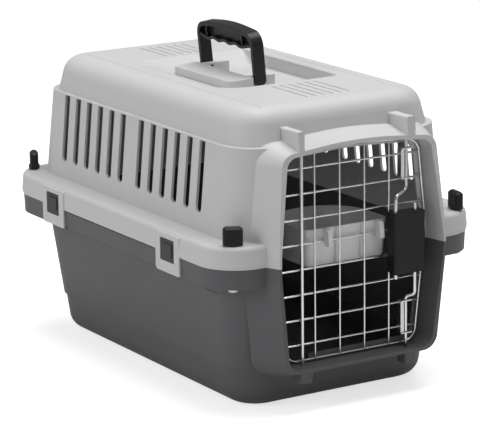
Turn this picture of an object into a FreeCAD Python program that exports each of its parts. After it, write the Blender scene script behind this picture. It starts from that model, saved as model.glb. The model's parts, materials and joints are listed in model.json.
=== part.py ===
import FreeCAD, Part
import math
import os
from FreeCAD import Placement, Rotation, Vector

# Pet transport carrier: two bolted plastic shells, a wire door with a squeeze latch and
# a hung bowl, four wing knobs, four snap catches and a folding carrying handle.
# Frame: origin at the centre of the underside, +X to the door, +Y to the latch side, +Z up.

doc = FreeCAD.newDocument("PetCarrier")
sheet = doc.addObject("Spreadsheet::Sheet", "Dimensions")

DIMENSIONS = {
    # shells
    "wallThick": 2.8, "splitHeight": 159.5, "baseLength": 399.0, "baseWidth": 235.0,
    "beltHeight": 42.0, "beltStep": 1.6, "beltLength": 411.0, "beltWidth": 247.6,
    "girthLength": 440.0, "girthWidth": 275.0, "girthRound": 42.0, "baseRound": 38.0,
    "bottomFillet": 20.0, "ledgeHeight": 277.0, "ledgeLength": 432.0, "ledgeWidth": 252.8,
    "capInset": 2.5, "roofHeight": 314.5, "roofLength": 404.0, "roofWidth": 228.0,
    "roofFillet": 22.0,
    # rim round both shells
    "rimLength": 465.6, "rimWidth": 325.4, "rimRound": 46.0, "rimTop": 182.7,
    "skirtBottom": 138.5, "rimFillet": 5.0, "sideRecess": 1.2, "sideSpan": 200.0, "sideSkirt": 140.6,
    # side vents
    "ventPitch": 25.1, "ventMiddleGap": 39.1, "ventWidth": 11.0, "ventTop": 275.7,
    "ventBottom": 201.7, "ventShiftNear": -5.1, "ventShiftFar": -1.6,
    # roof grooves, recess, handle block and pocket
    "grooveOffset": 88.0, "grooveFront": 193.0, "grooveRear": -180.0, "grooveWide": 4.4,
    "grooveDeep": 1.3, "recessFloor": 301.0, "recessFar": 72.0, "blockTop": 315.8,
    "blockCore": 103.2, "blockNear": -43.0, "blockStop": -13.5, "blockFar": 18.0,
    "ridgePitch": 10.5, "ridgeWide": 2.4, "ridgeDeep": 0.6,
    # corner bolts, knobs and nuts
    "boltX": 214.7, "boltY": 138.0, "boltRadius": 2.45, "bossRadius": 5.8, "bossBottom": 138.4,
    "washerRadius": 6.6, "washerThick": 1.0, "headRadius": 5.6, "headHeight": 2.8,
    "knobHeight": 19.8, "knobLength": 20.5, "knobThick": 9.6, "knobChamfer": 2.6, "hubRadius": 6.2,
    "hubHeight": 4.6, "knobGap": 0.1, "nutFlats": 8.0, "nutHeight": 4.0, "boltTop": 196.0,
    # snap catches
    "catchX": 125.0, "catchZ": 162.6, "windowWide": 28.0, "windowHigh": 24.0,
    "tabWide": 48.0, "tabTop": 180.0, "catchGap": 0.7, "catchThick": 2.6, "catchTravel": 3.0,
    # doorway, door wires and rods
    "doorPlane": 222.0, "lipFront": 220.0, "frameWire": 1.25, "meshWire": 1.15,
    "uprightPitch": 30.6, "crossTop": 253.6, "crossPitch": 26.45, "uprightOffset": 1.9, "uprightWire": 0.95,
    "rodRadius": 1.85, "hingeX": 225.1, "hingeY": -62.5, "boltRodX": 228.2, "boltRodY": 64.4,
    "rodFit": 0.08, "sillTop": 48.4, "hingeTop": 280.4, "hingeFoot": 37.5,
    # latch
    "caseBack": 226.0, "caseDeep": 15.0, "caseLeft": 41.5, "caseRight": 80.8,
    "caseBottom": 130.0, "caseTop": 195.5, "caseWall": 1.6, "innerWall": 1.2,
    "innerTop": 179.0, "upperRodY": 47.2, "lowerRodY": 71.4, "latchRodX": 234.5,
    "springRadius": 3.5, "springWire": 0.5, "postRadius": 2.6,
    # bowl
    "bowlTop": 187.0, "bowlBottom": 147.0, "bowlFront": 219.8, "bowlHalf": 52.0,
    "bowlCentre": -3.0, "bowlDeep": 89.0, "bowlWall": 1.8, "bowlDraft": 3.0,
    # handle
    "handleCentre": 1.0, "handleY": -4.0, "pivotHeight": 312.0, "handleHalf": 56.5,
    "handleRise": 54.0, "strapWide": 14.0, "strapThick": 4.4, "handleLean": 5.5,
    "handleFoot": 5.5, "pinRadius": 2.2, "pinFit": 0.06,
}
for row, (alias, value) in enumerate(DIMENSIONS.items(), start=1):
    sheet.set(f"A{row}", alias)
    sheet.set(f"B{row}", str(value))
    sheet.setAlias(f"B{row}", alias)
doc.recompute()


def size(alias):
    return float(sheet.get(alias))


def bind(target, **expressions):
    for prop, expression in expressions.items():
        target.setExpression(prop.replace("_", "."), expression)


def cell(alias):
    return f"Dimensions.{alias}"


# ---- outlines: corners are (u, v, radius); every corner is rounded by a tangent arc ----

def roundedEdges(corners):
    """Lines and tangent arcs of a closed outline in the plane z = 0."""
    count = len(corners)
    joints = []
    for i, (u, v, radius) in enumerate(corners):
        corner = Vector(u, v, 0)
        before = Vector(*corners[i - 1][:2], 0) - corner
        after = Vector(*corners[(i + 1) % count][:2], 0) - corner
        before.normalize()
        after.normalize()
        half = before.getAngle(after) / 2
        if radius <= 0:
            joints.append((corner, None, corner))
            continue
        reach = radius / math.tan(half)
        bisector = before + after
        bisector.normalize()
        centre = corner + bisector * (radius / math.sin(half))
        middle = centre - bisector * radius
        joints.append((corner + before * reach, middle, corner + after * reach))
    edges = []
    for i, (start, middle, end) in enumerate(joints):
        if middle is not None:
            edges.append(Part.Arc(start, middle, end))
        following = joints[(i + 1) % count][0]
        if end.distanceToPoint(following) > 1e-6:
            edges.append(Part.LineSegment(end, following))
    return edges


def roundedWire(corners, placement=None):
    wire = Part.Wire([edge.toShape() for edge in roundedEdges(corners)])
    if placement is not None:
        wire.Placement = placement
    return wire


def prism(corners, placement, depth):
    """Outline extruded along the normal of its own plane."""
    face = Part.Face(roundedWire(corners, placement))
    return face.extrude(placement.Rotation.multVec(Vector(0, 0, depth)))


def mirroredCorners(corners):
    """Half outline given for u >= 0, closed by its mirror image."""
    left = [(-u, v, radius) for u, v, radius in reversed(corners) if u > 0]
    return corners + left


def inset(corners, amount):
    """The same outline drawn in by an amount on every side."""
    count = len(corners)
    area = sum(corners[i - 1][0] * corners[i][1] - corners[i][0] * corners[i - 1][1]
               for i in range(count))
    turn = 1 if area > 0 else -1
    moved = []
    for i, (u, v, radius) in enumerate(corners):
        before = Vector(u, v, 0) - Vector(*corners[i - 1][:2], 0)
        after = Vector(*corners[(i + 1) % count][:2], 0) - Vector(u, v, 0)
        before.normalize()
        after.normalize()
        inward = Vector(-before.y - after.y, before.x + after.x, 0) * turn
        inward.normalize()
        lean = inward.dot(Vector(-before.y, before.x, 0) * turn)
        shift = inward * (amount / lean)
        moved.append((u + shift.x, v + shift.y, max(radius - amount, 0.5)))
    return moved


def rectangle(length, width, radius, centreX=0.0, centreY=0.0):
    halfX, halfY = length / 2, width / 2
    return [(centreX + halfX, centreY - halfY, radius), (centreX + halfX, centreY + halfY, radius),
            (centreX - halfX, centreY + halfY, radius), (centreX - halfX, centreY - halfY, radius)]


def level(z):
    return Placement(Vector(0, 0, z), Rotation())


# u along +Y, v along +Z, normal along +X
FACING_DOOR = Rotation(Vector(0, 1, 0), Vector(0, 0, 1), Vector(1, 0, 0), "ZXY")
# u along +X, v along +Z, normal along -Y
FACING_NEAR = Rotation(Vector(1, 0, 0), 90)


def station(x):
    return Placement(Vector(x, 0, 0), FACING_DOOR)


def loft(*wires):
    return Part.makeLoft(list(wires), True, True)


def box(x0, x1, y0, y1, z0, z1):
    return Part.makeBox(x1 - x0, y1 - y0, z1 - z0, Vector(x0, y0, z0))


def cylinder(x, y, z0, z1, radius):
    return Part.makeCylinder(radius, z1 - z0, Vector(x, y, z0), Vector(0, 0, 1))


def edgesAt(shape, height):
    """Edges that lie wholly at one height."""
    return [edge for edge in shape.Edges
            if abs(edge.BoundBox.ZMin - height) < 1e-4 and abs(edge.BoundBox.ZMax - height) < 1e-4]


def cutAll(shape, *tools):
    return shape.cut(list(tools)) if tools else shape


# a slot through a wall takes at least this volume away, mm3
SLOT_LEAST = 800.0
# a slot that falls on a seam of the wall is moved along it by the first of these that cuts, mm
SLOT_NUDGES = (0.0, 0.05, -0.05, 0.2, -0.2)


def cutSlot(shape, tool):
    """Cuts one slot, and stops the build if no nudge lets it through the wall."""
    for nudge in SLOT_NUDGES:
        moved = tool.copy()
        moved.translate(Vector(nudge, 0, 0))
        left = shape.cut(moved)
        if shape.Volume - left.Volume > SLOT_LEAST:
            return left
    raise ValueError("a slot was not cut through its wall")


# ---- shells ----

def shellBody(offset):
    """Closed solid of the carrier's body, drawn in by an offset: base, belt, girth, ledge, cap."""
    def ring(z, lengthName, widthName, roundName, trim=0.0):
        corners = rectangle(size(lengthName) - 2 * trim, size(widthName) - 2 * trim, size(roundName))
        return roundedWire(inset(corners, offset) if offset else corners, level(z))
    step, belt, split = size("beltStep"), size("beltHeight"), size("splitHeight")
    foot = loft(ring(offset, "baseLength", "baseWidth", "baseRound"),
                ring(belt + offset, "beltLength", "beltWidth", "baseRound", step))
    foot = foot.makeFillet(size("bottomFillet") - offset, edgesAt(foot, offset))
    lower = loft(ring(belt + offset, "beltLength", "beltWidth", "baseRound"),
                 ring(split, "girthLength", "girthWidth", "girthRound"))
    ledge = size("ledgeHeight") - offset
    upper = loft(ring(split, "girthLength", "girthWidth", "girthRound"),
                 ring(ledge, "ledgeLength", "ledgeWidth", "girthRound"))
    roof = size("roofHeight") - offset
    capFoot = ledge - size("roofFillet") / 2
    cap = loft(ring(capFoot, "ledgeLength", "ledgeWidth", "girthRound", size("capInset")),
               ring(roof, "roofLength", "roofWidth", "baseRound"))
    cap = cap.makeFillet(size("roofFillet") - offset, edgesAt(cap, roof))
    return foot, lower, upper, cap


# Outlines of the door surround, looking along the carrier: half width, height, corner radius.
SURROUND_BACK = [(110.0, 35.0, 26.0), (122.0, 160.0, 150.0), (107.0, 281.0, 26.0), (0.0, 288.5, 500.0)]
SURROUND_RIM = [(91.5, 45.5, 16.0), (103.5, 160.0, 150.0), (90.5, 271.0, 13.0), (0.0, 280.5, 500.0)]
FUNNEL_BACK = [(82.3, 48.6, 15.0), (96.5, 172.0, 120.0), (86.5, 270.0, 17.0), (0.0, 277.0, 500.0)]
FUNNEL_RIM = [(89.3, 48.0, 13.6), (101.1, 160.0, 150.0), (88.1, 268.4, 11.0), (0.0, 278.1, 500.0)]
DOORWAY = [(75.0, 57.0, 12.0), (88.0, 175.0, 120.0), (78.0, 264.0, 14.0), (0.0, 268.5, 500.0)]
FRONT_ARCH = [(126.0, 150.0, 0), (126.0, 276.6, 30.0), (104.0, 284.5, 60.0), (62.0, 290.0, 200.0),
              (0.0, 291.8, 600.0)]
SURROUND_START, RIM_PLANE, CAVITY_START = 206.0, 247.0, 190.0
FUNNEL_WALL = 2.4
UPPER_LEAN, LOWER_LEAN = 0.066, 0.04


def surroundLoft(back, rim, start, amount=0.0):
    backCorners, rimCorners = mirroredCorners(back), mirroredCorners(rim)
    if amount:
        backCorners, rimCorners = inset(backCorners, amount), inset(rimCorners, amount)
    return loft(roundedWire(backCorners, station(start)), roundedWire(rimCorners, station(RIM_PLANE)))


def rimTrim():
    """Everything ahead of the rim, which leans back above and below the split."""
    split, front, top = 160.0, 246.8, 330.0
    corners = [(front, split, 0), (front - UPPER_LEAN * (top - split), top, 0), (320, top, 0),
               (320, -10, 0), (front - LOWER_LEAN * (split + 10), -10, 0)]
    return prism(corners, Placement(Vector(0, 200, 0), FACING_NEAR), 400)


def rimRing(z, amount):
    corners = rectangle(size("rimLength"), size("rimWidth"), size("rimRound"))
    return roundedWire(inset(corners, amount) if amount else corners, level(z))


def upperRimBlock(bottom, top, amount):
    """Rim of the upper shell: widest just above the split, narrowing a little to its top."""
    draft, lip = 1.7, 4.5
    block = loft(rimRing(bottom, amount + 0.9), rimRing(bottom + lip, amount),
                 rimRing(top, amount + draft))
    return block.makeFillet(size("rimFillet") - amount * 0.9, edgesAt(block, top))


def lowerRimBlock(bottom, top, amount):
    """Skirt of the lower shell, set in from the upper rim and narrowing downwards."""
    return loft(rimRing(bottom, amount + 2.6), rimRing(top, amount + 1.7))


def frontBand():
    """Front wall carried up above the ledge, its top edge an arch over the doorway."""
    corners = rectangle(size("girthLength"), size("girthWidth"), size("girthRound"))
    ledge = rectangle(size("ledgeLength"), size("ledgeWidth"), size("girthRound"))
    lean = (size("girthLength") - size("ledgeLength")) / (size("ledgeHeight") - size("splitHeight"))
    rise = 18.0
    narrower = rectangle(size("ledgeLength") - lean * rise, size("ledgeWidth") - lean * rise,
                         size("girthRound"))
    band = loft(roundedWire(corners, level(size("splitHeight"))),
                roundedWire(ledge, level(size("ledgeHeight"))),
                roundedWire(narrower, level(size("ledgeHeight") + rise)))
    return band.common(prism(mirroredCorners(FRONT_ARCH), station(150), 100))


def ventPrisms():
    """Six slots each side of the middle of each side wall."""
    radius = size("ventWidth") / 2
    prisms = []
    for start, shift in ((0, "ventShiftNear"), (180, "ventShiftFar")):
        for side in (-1, 1):
            for k in range(6):
                x = size(shift) + side * (size("ventMiddleGap") / 2 + k * size("ventPitch"))
                corners = [(x - radius, size("ventBottom"), radius * 0.98),
                           (x + radius, size("ventBottom"), radius * 0.98),
                           (x + radius, size("ventTop"), 1.2), (x - radius, size("ventTop"), 1.2)]
                prisms.append(prism(corners, Placement(Vector(0, start, 0), FACING_NEAR), 180))
    return prisms


def recessSolid(amount):
    """Recess for the folded handle: steep far wall, gentle ramps up to the roof on the rest."""
    floor, roof = size("recessFloor") - amount, size("roofHeight") + 1.5
    far = size("recessFar") + amount
    near, front, rear, spread = -31.0 - amount, 46.0 + amount, -80.0 - amount, 49.0
    low = [(front, near, 12), (front, far, 3), (rear, far, 3), (rear, near, 12)]
    high = [(front + 52, near - spread, 40), (front + 52, far, 3), (rear - 26, far, 3),
            (rear - 26, near - spread, 30)]
    return loft(roundedWire(low, level(floor)), roundedWire(high, level(roof)))


def handleBlock():
    """Block between the handle's legs: a wide near part that stops the handle's lean, a core
    that holds the pivot pins, and a scoop for the fingers on the far side."""
    near, stop, far = size("blockNear"), size("blockStop"), size("blockFar")
    top, base = size("blockTop"), size("recessFloor") - 1.5
    centre, core = size("handleCentre"), size("blockCore") / 2
    left, right = centre - core, centre + core
    plan = [(left - 9, near, 4), (right + 6.5, near, 12), (right + 6.5, stop, 1.5),
            (right, stop, 0.4), (right, far, 2), (left, far, 2), (left, stop, 0.4),
            (left - 9, stop, 1.5)]
    profile = [(near - 1, base, 0), (near - 1, top - 2.0, 1.5), (-18, top, 40), (far + 1, top, 1.5),
               (far + 1, base, 0)]
    block = prism(plan, level(base), top - base + 2)
    block = block.common(prism(profile, station(left - 12), 2 * core + 24))
    scoop = [(-14, top + 2, 0), (far + 3, top + 2, 0), (far + 3, 303, 0), (-2, 311, 30),
             (-14, top, 0)]
    scooped = block.cut(prism(scoop, station(left + 8), 2 * core - 16))
    pins = Part.makeCylinder(size("pinRadius"), 2 * core + 2,
                             Vector(left - 1, size("handleY"), size("pivotHeight")),
                             Vector(1, 0, 0))
    middle = box(left + 8, right - 8, -40, 40, 290, 330)
    return scooped.cut(pins.cut(middle))


def makeShells():
    wall, split = size("wallThick"), size("splitHeight")
    outer = shellBody(0.0)
    inner = shellBody(wall)
    bodyOuter = outer[0].fuse(list(outer[1:]))
    bodyInner = inner[0].fuse(list(inner[1:]))
    surround = surroundLoft(SURROUND_BACK, SURROUND_RIM, SURROUND_START)
    surroundInside = surroundLoft(SURROUND_BACK, SURROUND_RIM, CAVITY_START, wall)
    funnel = loft(roundedWire(inset(mirroredCorners(FUNNEL_BACK), -FUNNEL_WALL),
                              station(size("lipFront") - wall)),
                  roundedWire(inset(mirroredCorners(FUNNEL_RIM), -FUNNEL_WALL), station(RIM_PLANE)))
    funnelInside = surroundLoft(FUNNEL_BACK, FUNNEL_RIM, size("lipFront"))
    doorway = prism(mirroredCorners(DOORWAY), station(CAVITY_START), 40)
    relief = prism(mirroredCorners(FUNNEL_BACK), station(CAVITY_START), 31)
    relief = relief.common(box(180, 260, -130, -52, 0, 300))
    hollow = bodyInner.fuse(surroundInside).cut(funnel).cut(recessSolid(wall))
    solid = bodyOuter.fuse([surround, frontBand()])

    # rim: a channel round each shell, open towards the other one
    skirt = size("skirtBottom")
    rimUpper = upperRimBlock(split, size("rimTop"), 0.0)
    rimUpper = rimUpper.cut(upperRimBlock(split, size("rimTop") - wall, wall)).cut(solid)
    rimLower = lowerRimBlock(skirt, split, 0.0)
    rimLower = rimLower.cut(lowerRimBlock(skirt, split - wall, wall)).cut(solid)

    span = size("sideSpan") / 2
    side = size("rimWidth") / 2
    # long sides of the rim stand a little back between the catches
    recess = [box(-span, span, s * side - size("sideRecess"), s * side + size("sideRecess"),
                  split - 1, size("rimTop") + 1) for s in (-1, 1)]
    rimUpper = cutAll(rimUpper, *recess)
    # there the lower skirt is shorter, and a narrow gap parts it from the rim above
    skirtCuts = []
    for s in (-1, 1):
        y0, y1 = sorted((s * 137.0, s * (side + 1)))
        skirtCuts.append(box(-span, span, y0, y1, skirt - 1, size("sideSkirt")))
        y0, y1 = sorted((s * (side - 3.4), s * (side + 1)))
        skirtCuts.append(box(-span, span, y0, y1, split - 1.2, split + 1))
    rimLower = cutAll(rimLower, *skirtCuts)

    upperParts = [rimUpper, handleBlock()]
    lowerParts = [rimLower]

    # bosses for the corner bolts
    bosses, boltHoles = [], []
    for sx in (-1, 1):
        for sy in (-1, 1):
            x, y = sx * size("boltX"), sy * size("boltY")
            upperParts.append(cylinder(x, y, split, size("rimTop") - 1, size("bossRadius")))
            lowerParts.append(cylinder(x, y, size("bossBottom"), split, size("bossRadius")))
            boltHoles.append(cylinder(x, y, size("bossBottom") - 1, size("rimTop") + 1,
                                      size("boltRadius") + 0.35))

    # tabs with windows for the catches, hanging from the upper rim over the lower one
    windows, notches, tabs = [], [], []
    tab, high = size("tabWide"), size("windowHigh")
    for sx in (-1, 1):
        for sy in (-1, 1):
            x = sx * size("catchX")
            outline = [(x - tab / 2, skirt, 4.5), (x + tab / 2, skirt, 3.0),
                       (x + tab / 2, size("tabTop"), 2.0), (x - tab / 2, size("tabTop"), 2.0)]
            back = side if sy > 0 else -side + wall
            plate = prism(outline, Placement(Vector(0, back, 0), FACING_NEAR), wall)
            tabs.append(plate.makeFillet(0.8, [e for e in plate.Edges
                                               if abs(e.BoundBox.YMin - sy * side) < 1e-6
                                               and abs(e.BoundBox.YMax - sy * side) < 1e-6]))
            y0, y1 = sorted((sy * (side - 9), sy * (side + 1)))
            windows.append(box(x - size("windowWide") / 2, x + size("windowWide") / 2, y0, y1,
                               size("catchZ") - high / 2, size("catchZ") + high / 2))
            y0, y1 = sorted((sy * (side - 12), sy * (side + 1)))
            notches.append(box(x - tab / 2 - 0.4, x + tab / 2 + 0.4, sorted((sy * (side - wall - 0.2),
                               sy * (side + 1)))[0], sorted((sy * (side - wall - 0.2),
                               sy * (side + 1)))[1], skirt - 1, split))
            notches.append(box(x - 15, x + 15, y0, y1, skirt - 1, split + 1))
    upperParts += tabs

    # pockets for the door rods, above and below the doorway
    for plan in ([(204, -75.5, 0), (240, -73.6, 2.0), (240, -66.8, 2.0), (204, -66.0, 0)],
                 [(204, 56.4, 0), (240, 59.4, 2.0), (240, 69.0, 2.0), (204, 69.0, 0)]):
        lug = prism(plan, level(270), 25.2)
        upperParts.append(lug.makeFillet(1.8, edgesAt(lug, 295.2)))
    for s in (-1, 1):
        y = s * size("boltRodY")
        low = roundedWire(rectangle(15, 13, 2, 229.5, y), level(31))
        lowerParts.append(loft(low, roundedWire(rectangle(18, 16, 2, 230, y), level(49))))
    fit = size("rodFit")
    rodHoles = [cylinder(size("hingeX"), size("hingeY"), 35, 289, size("rodRadius") + fit),
                cylinder(size("boltRodX"), size("boltRodY"), 35, 289, size("rodRadius") + 0.4)]

    grooves = []
    for s in (-1, 1):
        middle = (size("grooveFront") + size("grooveRear")) / 2
        long, wide = size("grooveFront") - size("grooveRear"), size("grooveWide")
        low = rectangle(long - wide, 1.2, 0.55, middle, s * size("grooveOffset"))
        high = rectangle(long + wide, 2 * wide - 1.2, wide - 0.65, middle,
                         s * size("grooveOffset"))
        roof, deep = size("roofHeight"), size("grooveDeep")
        grooves.append(loft(roundedWire(low, level(roof - deep)),
                            roundedWire(high, level(roof + deep))))

    ridges = []
    for start, end in ((103, 172), (-172, -112)):
        for k in range(6):
            corners = rectangle(end - start, size("ridgeWide"), 0.85, (start + end) / 2,
                                (k - 1.9) * size("ridgePitch"))
            ridges.append(prism(corners, level(size("roofHeight") - size("ridgeDeep")), 5))
    slots = [box(152, 178, min(s * 132.9, s * 139), max(s * 132.9, s * 139), 123.2, 130)
             for s in (-1, 1)]

    # spring slits radiate from the rods' holes in the sill
    slits = []
    for x, y in ((size("hingeX"), size("hingeY")), (size("boltRodX"), size("boltRodY"))):
        for k in range(3):
            arm = box(-8.5, 8.5, -0.55, 0.55, size("sillTop") - 3.2, size("sillTop") + 3.0)
            arm.rotate(Vector(), Vector(0, 0, 1), 20 + 60 * k)
            arm.translate(Vector(x, y, 0))
            slits.append(arm)

    common = [funnelInside, doorway, relief, rimTrim()] + boltHoles + rodHoles
    lowHalf = box(-300, 300, -200, 200, -5, split)
    highHalf = box(-300, 300, -200, 200, split, 360)

    upper = solid.common(highHalf).cut(recessSolid(0.0)).cut(hollow)
    upper = upper.fuse(upperParts)
    upper = cutAll(upper, *(common + windows + grooves + ridges))
    for slot in ventPrisms():
        upper = cutSlot(upper, slot)
    lower = solid.common(lowHalf).cut(hollow)
    lower = lower.fuse(lowerParts)
    lower = cutAll(lower, *(common + notches + slots + slits))
    return upper.removeSplitter(), lower.removeSplitter()


def addFeature(label, shape):
    feature = doc.addObject("Part::Feature", label)
    feature.Shape = shape
    feature.Placement = Placement()
    feature.Label = label
    return feature


PARTS = []


def keepPart(feature, label):
    feature.Label = label
    PARTS.append(feature)
    return feature


def buildShells():
    upper, lower = makeShells()
    keepPart(addFeature("upper_shell", upper), "upper_shell")
    keepPart(addFeature("lower_shell", lower), "lower_shell")


# ---- helpers for parametric pieces ----

def cylinderObject(name, radius, height, position, rotation=Rotation()):
    """Part cylinder whose sizes are expressions."""
    piece = doc.addObject("Part::Cylinder", name)
    bind(piece, Radius=radius, Height=height)
    piece.Placement = Placement(Vector(*position), rotation)
    return piece


def bodyWith(name):
    return doc.addObject("PartDesign::Body", name)


def planeOf(body, role):
    return next(o for o in body.Origin.OriginFeatures if o.Role == role)


def sketchOn(body, role, name, corners, offset=None, holes=()):
    """Closed outline on one of the body's own planes; offset is an expression along its normal."""
    sketch = body.newObject("Sketcher::SketchObject", name)
    sketch.AttachmentSupport = [(planeOf(body, role), "")]
    sketch.MapMode = "FlatFace"
    if offset:
        sketch.setExpression("AttachmentOffset.Base.z", offset)
    for outline in [corners, *holes]:
        for edge in roundedEdges(outline):
            sketch.addGeometry(edge)
    return sketch


def pad(body, sketch, length, name, symmetric=False, reverse=False):
    feature = body.newObject("PartDesign::Pad", name)
    feature.Profile = sketch
    feature.setExpression("Length", length)
    if symmetric:
        feature.SideType = "Symmetric"
    feature.Reversed = reverse
    sketch.Visibility = False
    return feature


def pocket(body, sketch, length, name, reverse=False):
    """Pocket that must take material away; the volume is compared."""
    doc.recompute()
    before = body.Shape.Volume
    feature = body.newObject("PartDesign::Pocket", name)
    feature.Profile = sketch
    feature.setExpression("Length", length)
    feature.Reversed = reverse
    doc.recompute()
    if not body.Shape.Volume < before - 1e-3:
        raise RuntimeError(f"{name} cuts nothing")
    return feature


def dressUp(body, kind, name, edges):
    """Fillet or chamfer on named edges of the body's last feature."""
    base = body.Tip
    feature = body.newObject(kind, name)
    feature.Base = (base, edges)
    return feature


def compoundOf(label, pieces):
    group = doc.addObject("Part::Compound", label)
    group.Links = pieces
    return keepPart(group, label)


# ---- corner bolts, washers, knobs and nuts ----

def cornerPlaces():
    return [(sx, sy) for sx in (1, -1) for sy in (-1, 1)]


def cornerName(sx, sy):
    return ("front" if sx > 0 else "rear") + "_" + ("near" if sy < 0 else "far")


def buildBolts():
    """Steel coach bolts pushed up through both rims, heads and washers under the lower boss."""
    shanks, washers = [], []
    for sx, sy in cornerPlaces():
        x, y = sx * size("boltX"), sy * size("boltY")
        headTop = size("bossBottom") - size("washerThick")
        shank = cylinderObject("BoltShank", cell("boltRadius"),
                               f"{cell('boltTop')} - {cell('bossBottom')} + {cell('washerThick')}",
                               (x, y, headTop))
        head = doc.addObject("Part::Cylinder", "BoltHead")
        bind(head, Radius=cell("headRadius"), Height=cell("headHeight"))
        head.Placement = Placement(Vector(x, y, headTop - size("headHeight")), Rotation())
        joined = doc.addObject("Part::Fuse", "CoachBolt")
        joined.Base, joined.Tool = shank, head
        rounded = doc.addObject("Part::Fillet", "RoundedBolt")
        rounded.Base = joined
        doc.recompute()
        low = headTop - size("headHeight")
        rounded.Edges = [(i + 1, 2.2, 2.2) for i, edge in enumerate(joined.Shape.Edges)
                         if abs(edge.BoundBox.ZMax - low) < 1e-3 and edge.BoundBox.XLength > 10]
        shanks.append(rounded)
        ring = cylinderObject("WasherRing", cell("washerRadius"), cell("washerThick"),
                              (x, y, headTop))
        bore = cylinderObject("WasherBore", f"{cell('boltRadius')} + 0.3", "5",
                              (x, y, headTop - 2))
        washer = doc.addObject("Part::Cut", "Washer")
        washer.Base, washer.Tool = ring, bore
        washers.append(washer)
    compoundOf("corner_bolts", shanks)
    compoundOf("bolt_washers", washers)


KNOB_TURNS = {"front_near": 63.0, "front_far": 173.0, "rear_near": 154.0, "rear_far": 40.0}


def hexagon(flats):
    reach = flats / math.sqrt(3)
    return [(reach * math.cos(math.radians(60 * k)), reach * math.sin(math.radians(60 * k)), 0)
            for k in range(6)]


def buildKnobs():
    """Wing knobs on round hubs, each with a hexagonal steel nut sunk in its underside."""
    for sx, sy in cornerPlaces():
        name = cornerName(sx, sy)
        base = Vector(sx * size("boltX"), sy * size("boltY"), size("rimTop") + size("knobGap"))
        turn = Rotation(Vector(0, 0, 1), KNOB_TURNS[name])
        knob = bodyWith("Knob" + name.title().replace("_", ""))
        hub = sketchOn(knob, "XY_Plane", "HubOutline",
                       rectangle(2 * size("hubRadius"), 2 * size("hubRadius"),
                                 size("hubRadius") * 0.999))
        pad(knob, hub, cell("hubHeight"), "Hub")
        wing = sketchOn(knob, "XY_Plane", "WingOutline",
                        rectangle(size("knobLength"), size("knobThick"), 3.4), "1.2")
        pad(knob, wing, f"{cell('knobHeight')} - 1.2", "Wing")
        doc.recompute()
        top = [f"Edge{i + 1}" for i, edge in enumerate(knob.Shape.Edges)
               if edge.BoundBox.ZMin > size("knobHeight") - 0.01]
        dressUp(knob, "PartDesign::Chamfer", "TopChamfer", top).Size = size("knobChamfer")
        pocket(knob, sketchOn(knob, "XY_Plane", "NutSeat", hexagon(size("nutFlats"))),
               cell("nutHeight"), "NutPocket", True)
        bore = rectangle(2 * size("boltRadius") + 0.1, 2 * size("boltRadius") + 0.1,
                         (size("boltRadius") + 0.05) * 0.9999)
        pocket(knob, sketchOn(knob, "XY_Plane", "BoltBore", bore), "15.5", "Bore", True)
        knob.Placement = Placement(base, turn)
        keepPart(knob, "wing_knob_" + name)

        nut = bodyWith("Nut" + name.title().replace("_", ""))
        outline = sketchOn(nut, "XY_Plane", "NutOutline", hexagon(size("nutFlats")), None, [bore])
        pad(nut, outline, cell("nutHeight"), "NutBlock")
        nut.Placement = Placement(base, turn)
        keepPart(nut, "knob_nut_" + name)


# ---- snap catches ----

def buildCatches():
    """Catch plate in the window of each tab, with a raised press pad and a tongue behind."""
    wide = size("windowWide") - 2 * size("catchGap")
    high = size("windowHigh") - 2 * size("catchGap")
    for sx, sy in cornerPlaces():
        name = cornerName(sx, sy)
        body = bodyWith("Catch" + name.title().replace("_", ""))
        plate = sketchOn(body, "XZ_Plane", "PlateOutline", rectangle(wide, high, 2))
        pad(body, plate, cell("catchThick"), "Plate", reverse=True)
        raised = sketchOn(body, "XZ_Plane", "PressPadOutline", rectangle(wide - 8, high - 8, 2))
        pad(body, raised, "0.9", "PressPad")
        tongue = sketchOn(body, "XZ_Plane", "TongueOutline",
                          rectangle(wide - 6, high + 9, 1.5, 0, -5.5), f"-{cell('catchThick')}")
        pad(body, tongue, "2.2", "Tongue", reverse=True)
        face = sy * (size("rimWidth") / 2 - 0.5)
        turn = Rotation(Vector(0, 0, 1), 180 if sy > 0 else 0)
        body.Placement = Placement(Vector(sx * size("catchX"), face, size("catchZ")), turn)
        keepPart(body, "snap_catch_" + name)


# ---- door ----

FRAME_LOOP = [(79.5, 51.5, 14.0), (93.5, 175.0, 120.0), (83.5, 267.0, 16.0), (0.0, 273.0, 500.0)]


def halfWidthAt(z):
    """Half width of the frame loop on its straight runs."""
    (y0, z0, _), (y1, z1, _), (y2, z2, _) = FRAME_LOOP[:3]
    if z < z1:
        return y0 + (y1 - y0) * (z - z0) / (z1 - z0)
    return y1 + (y2 - y1) * (z - z1) / (z2 - z1)


def pipe(points, radius, bend=0.0):
    """Round wire along straight runs joined by tangent arcs."""
    edges = []
    start = points[0]
    for i in range(1, len(points) - 1):
        before = points[i - 1] - points[i]
        after = points[i + 1] - points[i]
        before.normalize()
        after.normalize()
        half = before.getAngle(after) / 2
        reach = bend / math.tan(half)
        bisector = before + after
        bisector.normalize()
        centre = points[i] + bisector * (bend / math.sin(half))
        first, last = points[i] + before * reach, points[i] + after * reach
        edges.append(Part.LineSegment(start, first).toShape())
        edges.append(Part.Arc(first, centre - bisector * bend, last).toShape())
        start = last
    edges.append(Part.LineSegment(start, points[-1]).toShape())
    direction = points[1] - points[0]
    profile = Part.Wire(Part.makeCircle(radius, points[0], direction))
    return Part.Wire(edges).makePipeShell([profile], True, True)


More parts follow.
